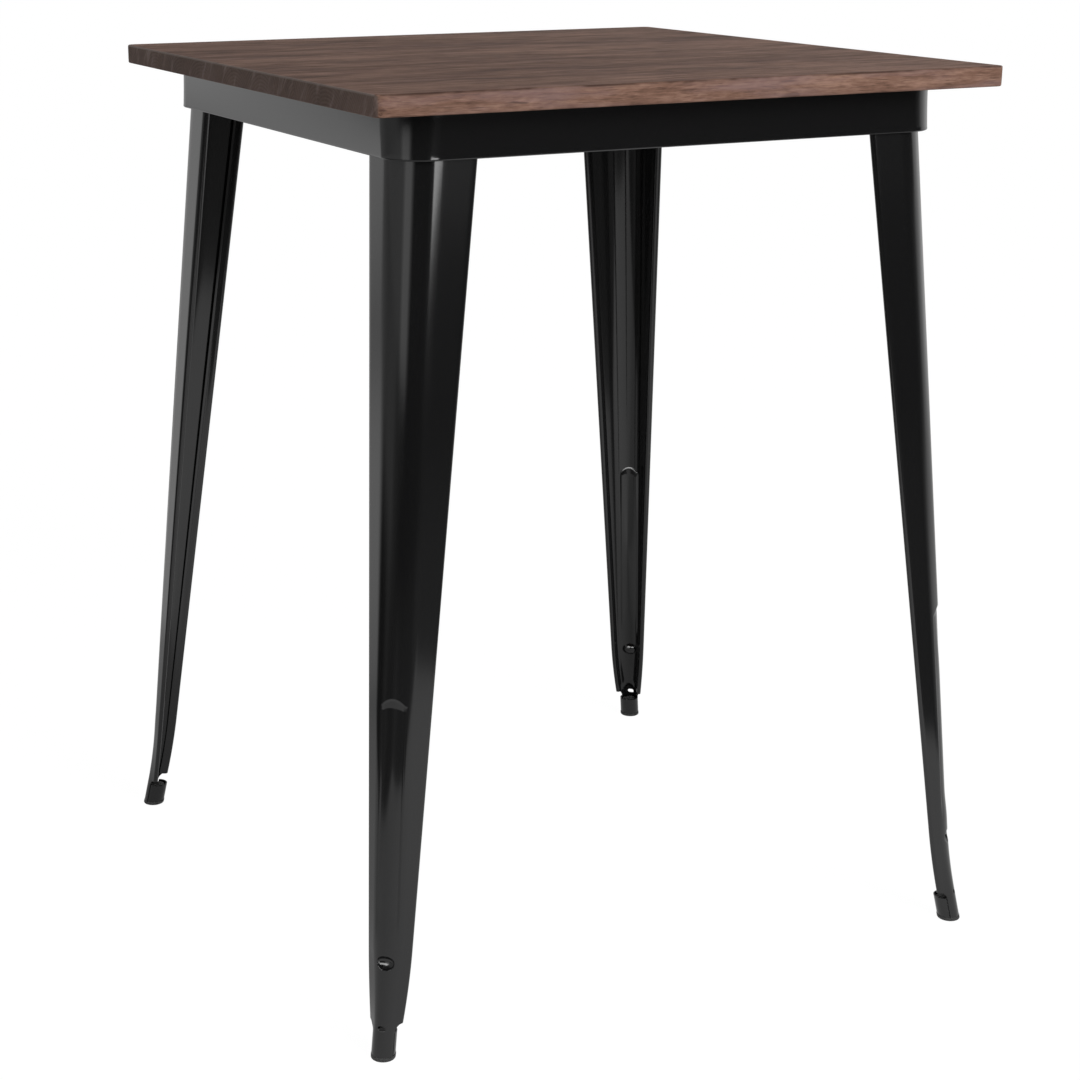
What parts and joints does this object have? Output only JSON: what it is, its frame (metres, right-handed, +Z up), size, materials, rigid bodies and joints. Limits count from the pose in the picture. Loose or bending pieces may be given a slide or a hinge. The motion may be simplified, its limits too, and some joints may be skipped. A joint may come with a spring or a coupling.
{
  "type": "bar table",
  "caption": "Square bar-height table with a glued plank top, a pressed steel apron and splayed open-section sheet steel legs on rubber feet.",
  "frame": {"origin": "on the floor under the middle of the square top", "axes": "+Z up, planks of the top along X, the four sides of the apron face +X, -X, +Y and -Y"},
  "size_m": [0.8244, 0.8244, 1.067],
  "materials": {
    "stained_wood": "walnut stain under a satin lacquer, long grain along X",
    "gloss_black_paint": "gloss black powder coat",
    "foot_rubber": "moulded matte black rubber",
    "zinc_steel": "bright zinc plated"
  },
  "bodies": {
    "root": {"top_stave_01": "stained_wood", "top_stave_02": "stained_wood", "top_stave_03": "stained_wood", "top_stave_04": "stained_wood", "top_stave_05": "stained_wood", "top_stave_06": "stained_wood", "top_stave_07": "stained_wood", "top_stave_08": "stained_wood", "top_stave_09": "stained_wood", "top_stave_10": "stained_wood", "top_stave_11": "stained_wood", "apron_frame": "gloss_black_paint", "support_rail_left": "gloss_black_paint", "support_rail_right": "gloss_black_paint", "leg_back_right": "gloss_black_paint", "bracket_back_right": "gloss_black_paint", "foot_back_right": "foot_rubber", "leg_back_left": "gloss_black_paint", "bracket_back_left": "gloss_black_paint", "foot_back_left": "foot_rubber", "leg_front_left": "gloss_black_paint", "bracket_front_left": "gloss_black_paint", "foot_front_left": "foot_rubber", "leg_front_right": "gloss_black_paint", "bracket_front_right": "gloss_black_paint", "foot_front_right": "foot_rubber", "leg_bolts": "zinc_steel", "leg_washers": "zinc_steel", "leg_nuts": "zinc_steel", "top_screws": "zinc_steel"}
  },
  "joints": []
}
